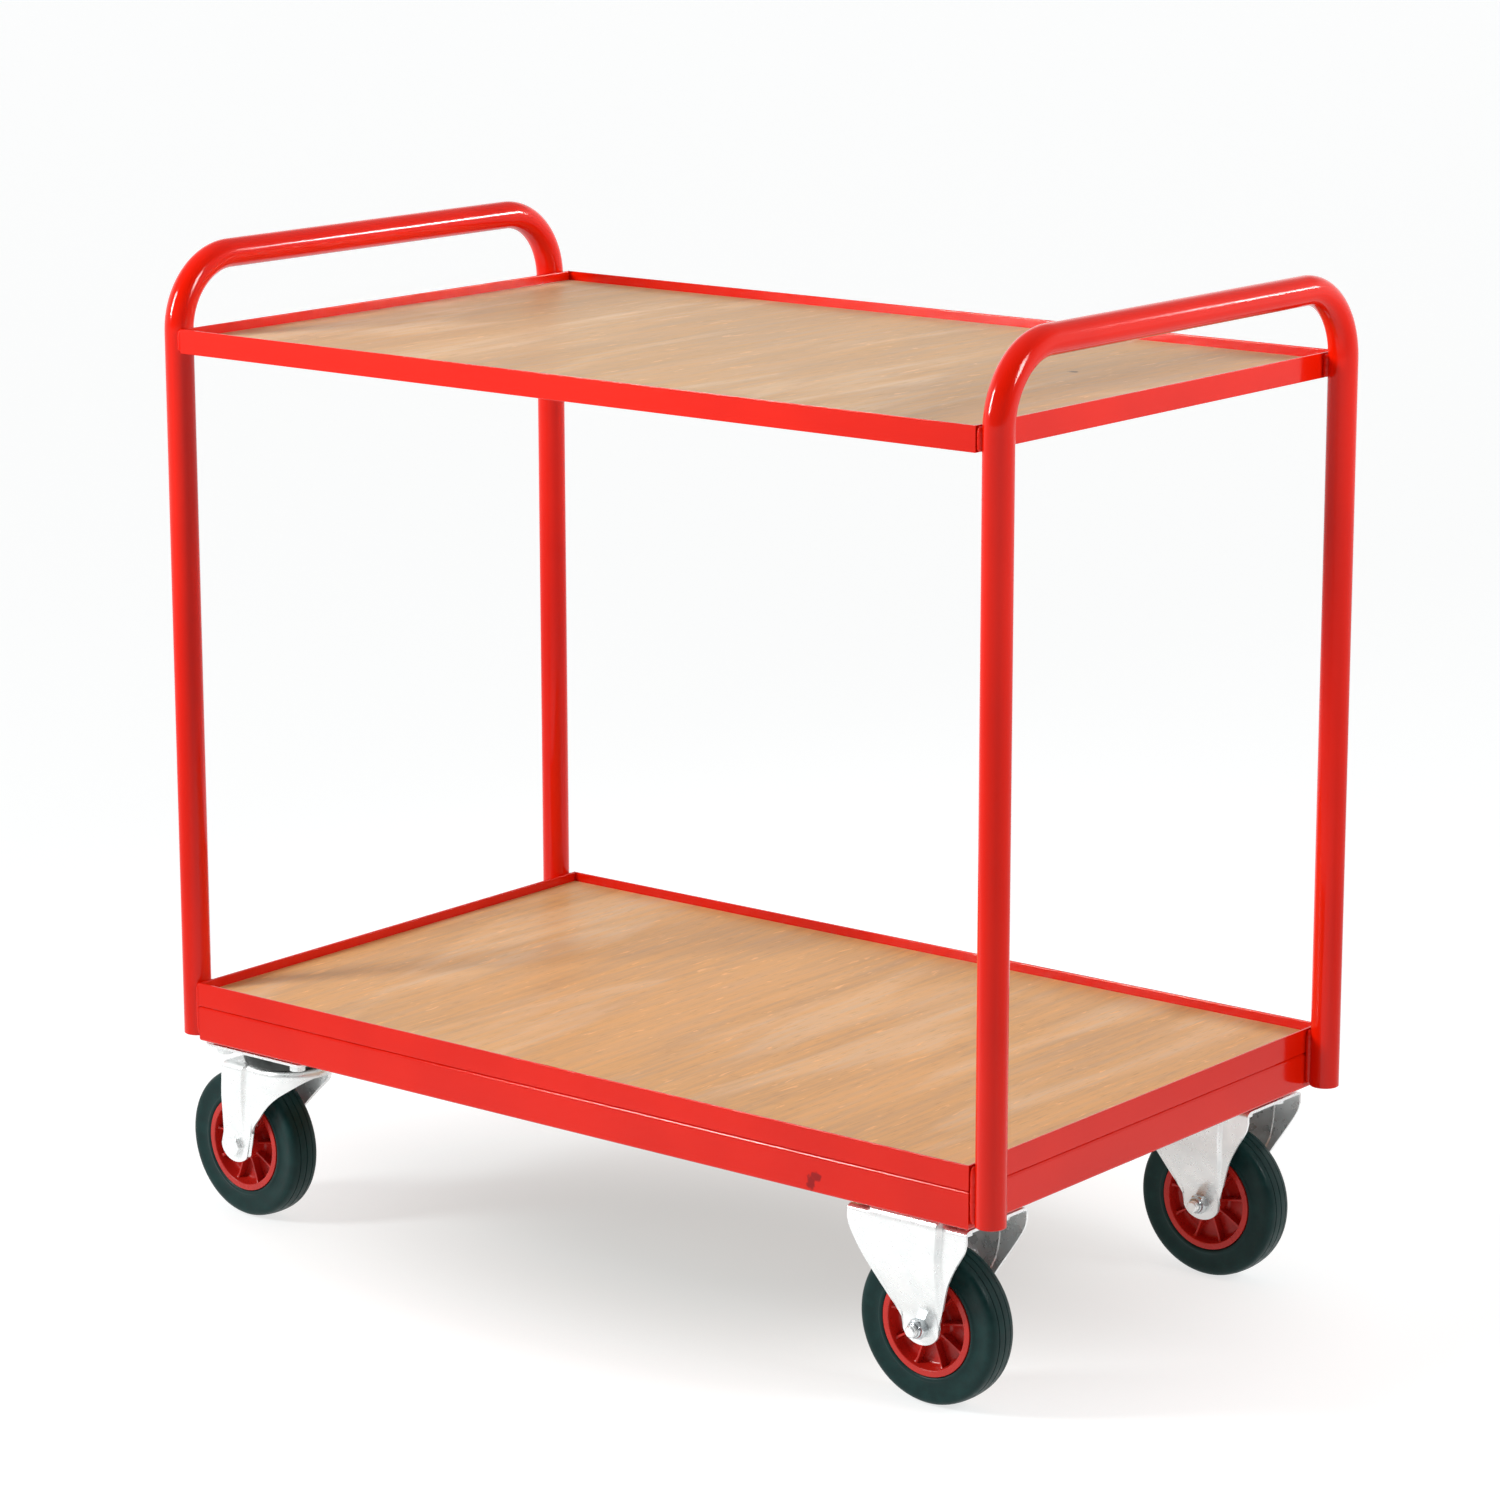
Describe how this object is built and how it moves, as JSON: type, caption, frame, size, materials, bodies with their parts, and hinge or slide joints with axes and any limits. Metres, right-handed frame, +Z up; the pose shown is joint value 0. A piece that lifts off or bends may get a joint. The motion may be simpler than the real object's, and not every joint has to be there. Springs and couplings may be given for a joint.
{
  "type": "tray trolley",
  "caption": "Two-tier platform trolley with tray shelves in a bent tube frame, rolling on swivel castors at one end and fixed castors at the other.",
  "frame": {"origin": "middle of the trolley's footprint on the floor, halfway between its ends and its sides", "axes": "+X along the length towards the fixed castors, +Y across towards the back, +Z up"},
  "size_m": [1.1049, 0.608, 1.044],
  "materials": {
    "red_enamel": "glossy powder coat",
    "oak_veneer": "satin lacquered veneer, grain across the tray",
    "bright_zinc": "bright zinc plate",
    "red_plastic": "moulded, semi-gloss",
    "black_rubber": "satin rubber",
    "bearing_steel": "plain oiled steel"
  },
  "bodies": {
    "frame": {"left_hoop": "red_enamel", "right_hoop": "red_enamel", "upper_tray_front": "red_enamel", "upper_tray_right": "red_enamel", "upper_tray_back": "red_enamel", "upper_tray_left": "red_enamel", "lower_tray_front": "red_enamel", "lower_tray_right": "red_enamel", "lower_tray_back": "red_enamel", "lower_tray_left": "red_enamel", "chassis_rail_front": "red_enamel", "chassis_rail_right": "red_enamel", "chassis_rail_back": "red_enamel", "chassis_rail_left": "red_enamel", "upper_deck": "oak_veneer", "lower_deck": "oak_veneer", "cross_member_left": "red_enamel", "cross_member_right": "red_enamel", "castor_pad_left_front": "red_enamel", "castor_pad_right_front": "red_enamel", "castor_pad_left_back": "red_enamel", "castor_pad_right_back": "red_enamel", "left_front_top_plate": "bright_zinc", "left_front_ball_race": "bearing_steel", "left_front_kingpin": "bright_zinc", "right_front_bracket": "bright_zinc", "right_front_axle_bolt": "bright_zinc", "right_front_axle_nut": "bright_zinc", "right_front_axle_sleeve": "bearing_steel", "left_back_top_plate": "bright_zinc", "left_back_ball_race": "bearing_steel", "left_back_kingpin": "bright_zinc", "right_back_bracket": "bright_zinc", "right_back_axle_bolt": "bright_zinc", "right_back_axle_nut": "bright_zinc", "right_back_axle_sleeve": "bearing_steel"},
    "left_front_swivel": {"left_front_fork": "bright_zinc", "left_front_axle_bolt": "bright_zinc", "left_front_axle_nut": "bright_zinc", "left_front_axle_sleeve": "bearing_steel"},
    "left_front_wheel": {"left_front_roller_bearing": "bearing_steel", "left_front_wheel_centre": "red_plastic", "left_front_tyre": "black_rubber"},
    "right_front_wheel": {"right_front_roller_bearing": "bearing_steel", "right_front_wheel_centre": "red_plastic", "right_front_tyre": "black_rubber"},
    "left_back_swivel": {"left_back_fork": "bright_zinc", "left_back_axle_bolt": "bright_zinc", "left_back_axle_nut": "bright_zinc", "left_back_axle_sleeve": "bearing_steel"},
    "left_back_wheel": {"left_back_roller_bearing": "bearing_steel", "left_back_wheel_centre": "red_plastic", "left_back_tyre": "black_rubber"},
    "right_back_wheel": {"right_back_roller_bearing": "bearing_steel", "right_back_wheel_centre": "red_plastic", "right_back_tyre": "black_rubber"}
  },
  "joints": [
    {"name": "left_front_swivel_turn", "type": "hinge", "parent": "frame", "child": "left_front_swivel", "pos_m": [-0.4163, -0.24, 0.182], "axis": [0, 0, 1], "continuous": true},
    {"name": "left_front_wheel_spin", "type": "hinge", "parent": "left_front_swivel", "child": "left_front_wheel", "pos_m": [-0.47123, -0.23712, 0.081], "axis": [0.0523, 0.9986, 0], "continuous": true},
    {"name": "right_front_wheel_spin", "type": "hinge", "parent": "frame", "child": "right_front_wheel", "pos_m": [0.4397, -0.24, 0.081], "axis": [0, 1, 0], "continuous": true},
    {"name": "left_back_swivel_turn", "type": "hinge", "parent": "frame", "child": "left_back_swivel", "pos_m": [-0.4163, 0.24, 0.182], "axis": [0, 0, 1], "continuous": true},
    {"name": "left_back_wheel_spin", "type": "hinge", "parent": "left_back_swivel", "child": "left_back_wheel", "pos_m": [-0.4713, 0.24, 0.081], "axis": [0, 1, 0], "continuous": true},
    {"name": "right_back_wheel_spin", "type": "hinge", "parent": "frame", "child": "right_back_wheel", "pos_m": [0.4397, 0.24, 0.081], "axis": [0, 1, 0], "continuous": true}
  ]
}
